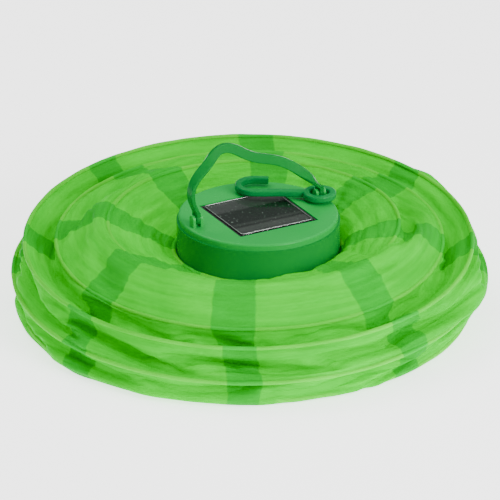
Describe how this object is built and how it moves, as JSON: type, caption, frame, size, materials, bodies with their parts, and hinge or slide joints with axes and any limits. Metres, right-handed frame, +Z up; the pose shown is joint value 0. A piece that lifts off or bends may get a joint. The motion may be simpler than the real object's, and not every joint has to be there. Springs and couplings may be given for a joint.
{
  "type": "solar lantern",
  "caption": "Folding cloth globe lantern on wire hoops, lying folded flat, with a round solar cap, carrying strap and hanging hook in its neck.",
  "frame": {"origin": "centre of the flat underside of the bottom ring, on the surface the folded lantern lies on", "axes": "+Z up, X through the two strap lugs (the hook's eye is at the +X lug), +Y away from the side the strap leans to"},
  "size_m": [0.2494, 0.2489, 0.0975],
  "materials": {
    "cloth": "thin translucent woven nylon",
    "hem": "doubled nylon, sewn round the wire",
    "hoop_wire": "spring steel wire",
    "ring_plastic": "moulded",
    "cap_plastic": "gloss, moulded in colour",
    "lid_plastic": "gloss, moulded in colour",
    "strap": "soft translucent vinyl",
    "hook": "moulded in colour",
    "solar_board": "black solder mask",
    "solar_cells": "dark silicon with fine silver lines",
    "solar_resin": "clear poured resin",
    "foam": "white adhesive foam",
    "lead_red": "insulated wire",
    "lead_black": "insulated wire",
    "battery": "shrink sleeve",
    "contacts": "nickel plated",
    "screws": "zinc plated",
    "circuit_board": "solder mask",
    "chip": "moulded",
    "inductor": "dipped",
    "led": "water clear",
    "lens": "clear moulded dome",
    "switch_case": "stamped",
    "switch_lever": "moulded"
  },
  "bodies": {
    "bottom_ring": {"bottom_ring": "ring_plastic", "cloth_1": "cloth"},
    "hoop_1": {"hoop_1": "hoop_wire", "hem_1": "hem", "cloth_2": "cloth"},
    "hoop_2": {"hoop_2": "hoop_wire", "hem_2": "hem", "cloth_3": "cloth"},
    "hoop_3": {"hoop_3": "hoop_wire", "hem_3": "hem", "cloth_4": "cloth"},
    "hoop_4": {"hoop_4": "hoop_wire", "hem_4": "hem", "cloth_5": "cloth"},
    "hoop_5": {"hoop_5": "hoop_wire", "hem_5": "hem", "cloth_6": "cloth"},
    "hoop_6": {"hoop_6": "hoop_wire", "hem_6": "hem", "cloth_7": "cloth"},
    "hoop_7": {"hoop_7": "hoop_wire", "hem_7": "hem", "cloth_8": "cloth"},
    "cap": {"cap_base": "cap_plastic", "cap_housing": "cap_plastic", "cap_lid": "lid_plastic", "neck_ring": "hoop_wire", "cap_screws": "screws", "solar_foam": "foam", "solar_board": "solar_board", "solar_cells": "solar_cells", "solar_resin": "solar_resin", "leads_plus": "lead_red", "leads_minus": "lead_black", "battery": "battery", "battery_spring": "contacts", "battery_plus_contact": "contacts", "circuit_board": "circuit_board", "driver_chip": "chip", "inductor": "inductor", "lamp_led": "led", "lamp_lens": "lens", "switch_case": "switch_case"},
    "strap": {"strap": "strap"},
    "hook": {"hook": "hook"},
    "battery_door": {"battery_door": "cap_plastic", "door_screw": "screws"},
    "switch_lever": {"switch_lever": "switch_lever"}
  },
  "joints": [
    {"name": "lift_1", "type": "slide", "parent": "bottom_ring", "child": "hoop_1", "axis": [0, 0, 1], "range_m": [0, 0.01338], "deforming": ["cloth_1"]},
    {"name": "lift_2", "type": "slide", "parent": "hoop_1", "child": "hoop_2", "axis": [0.0434, 0.0302, 0.9986], "range_m": [0, 0.02119], "deforming": ["cloth_2"]},
    {"name": "lift_3", "type": "slide", "parent": "hoop_2", "child": "hoop_3", "axis": [0.057, 0.0623, 0.9964], "range_m": [0, 0.0244], "deforming": ["cloth_3"]},
    {"name": "lift_4", "type": "slide", "parent": "hoop_3", "child": "hoop_4", "axis": [-0.1746, -0.1632, 0.971], "range_m": [0, 0.01323], "deforming": ["cloth_4"]},
    {"name": "lift_5", "type": "slide", "parent": "hoop_4", "child": "hoop_5", "axis": [-0.1011, -0.1105, 0.9887], "range_m": [0, 0.01376], "deforming": ["cloth_5"]},
    {"name": "lift_6", "type": "slide", "parent": "hoop_5", "child": "hoop_6", "axis": [0.0011, 0.0428, 0.9991], "range_m": [0, 0.02617], "deforming": ["cloth_6"]},
    {"name": "lift_7", "type": "slide", "parent": "hoop_6", "child": "hoop_7", "axis": [-0.1073, 0.1534, 0.9823], "range_m": [0, 0.01193], "deforming": ["cloth_7"]},
    {"name": "lift_8", "type": "slide", "parent": "hoop_7", "child": "cap", "axis": [-0.0768, 0.0413, 0.9962], "range_m": [0, 0.03073], "deforming": ["cloth_8"]},
    {"name": "strap_swing", "type": "hinge", "parent": "cap", "child": "strap", "pos_m": [0.005, -0.0027, 0.0582], "axis": [1, 0, 0], "range_deg": [0, 40]},
    {"name": "hook_turn", "type": "hinge", "parent": "cap", "child": "hook", "pos_m": [0.0417, -0.0027, 0.0571], "axis": [0, 0, -1], "range_deg": [0, 110]},
    {"name": "switch_slide", "type": "slide", "parent": "cap", "child": "switch_lever", "axis": [1, 0, 0], "range_m": [0, 0.004]},
    {"name": "door_drop", "type": "slide", "parent": "cap", "child": "battery_door", "axis": [0, 0, -1], "range_m": [0, 0.01]}
  ],
  "couplings": [
    {"joint": "lift_2", "follows": "lift_1", "ratio": 1.5837},
    {"joint": "lift_3", "follows": "lift_1", "ratio": 1.8234},
    {"joint": "lift_4", "follows": "lift_1", "ratio": 0.98905},
    {"joint": "lift_5", "follows": "lift_1", "ratio": 1.028},
    {"joint": "lift_6", "follows": "lift_1", "ratio": 1.9562},
    {"joint": "lift_7", "follows": "lift_1", "ratio": 0.89169},
    {"joint": "lift_8", "follows": "lift_1", "ratio": 2.2965}
  ]
}
